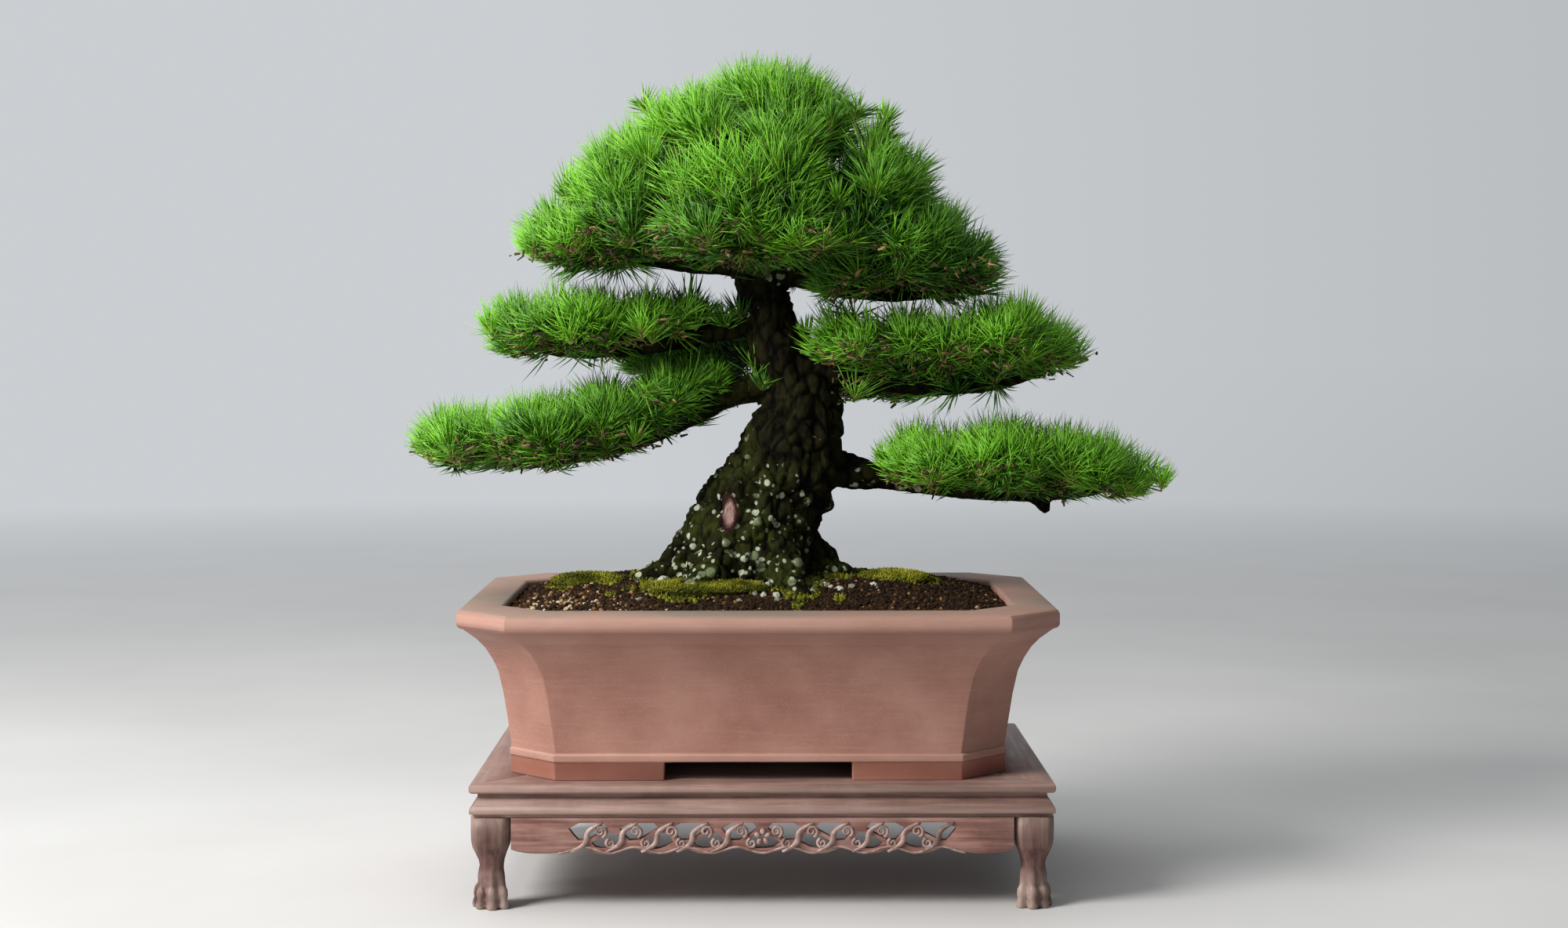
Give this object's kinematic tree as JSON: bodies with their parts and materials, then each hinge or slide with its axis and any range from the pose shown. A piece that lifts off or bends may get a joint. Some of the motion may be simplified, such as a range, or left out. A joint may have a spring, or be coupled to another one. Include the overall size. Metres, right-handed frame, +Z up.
{
  "type": "bonsai tree in a pot",
  "caption": "Pine bonsai with layered needle pads in a long octagonal unglazed clay pot, resting on a low carved wooden display stand with paw feet.",
  "frame": {"origin": "centre of the whole model's bounding box in X and Y, on the plane the stand's feet rest on", "axes": "+Z up, -Y towards the front, +X to the right seen from the front"},
  "size_m": [0.6724, 0.358, 0.7225],
  "materials": {
    "clay": "unglazed, matte, slightly weathered at the rim",
    "bark": "rough dark bark with lichen",
    "needles": "soft green needles",
    "soil": "granular, matte",
    "moss": "fine, matte",
    "stand_wood": "worn satin stain",
    "screen": "matte"
  },
  "bodies": {
    "root": {"drain_screen_left": "screen", "drain_screen_right": "screen", "foliage_back_left": "needles", "foliage_back_right": "needles", "foliage_crown_back": "needles", "foliage_crown_front": "needles", "foliage_crown_left": "needles", "foliage_crown_right": "needles", "foliage_crown_top": "needles", "foliage_left_lower": "needles", "foliage_left_middle": "needles", "foliage_right_lower": "needles", "foliage_right_middle": "needles", "moss_centre": "moss", "moss_left": "moss", "moss_right": "moss", "pot": "clay", "soil": "soil", "stand_apron_back": "stand_wood", "stand_apron_front": "stand_wood", "stand_apron_left": "stand_wood", "stand_apron_right": "stand_wood", "stand_batten_left": "stand_wood", "stand_batten_right": "stand_wood", "stand_leg_back_left": "stand_wood", "stand_leg_back_right": "stand_wood", "stand_leg_front_left": "stand_wood", "stand_leg_front_right": "stand_wood", "stand_moulding_back": "stand_wood", "stand_moulding_front": "stand_wood", "stand_moulding_left": "stand_wood", "stand_moulding_right": "stand_wood", "stand_top_panel": "stand_wood", "stand_top_rail_back": "stand_wood", "stand_top_rail_front": "stand_wood", "stand_top_rail_left": "stand_wood", "stand_top_rail_right": "stand_wood", "trunk_and_branches": "bark"}
  },
  "joints": []
}
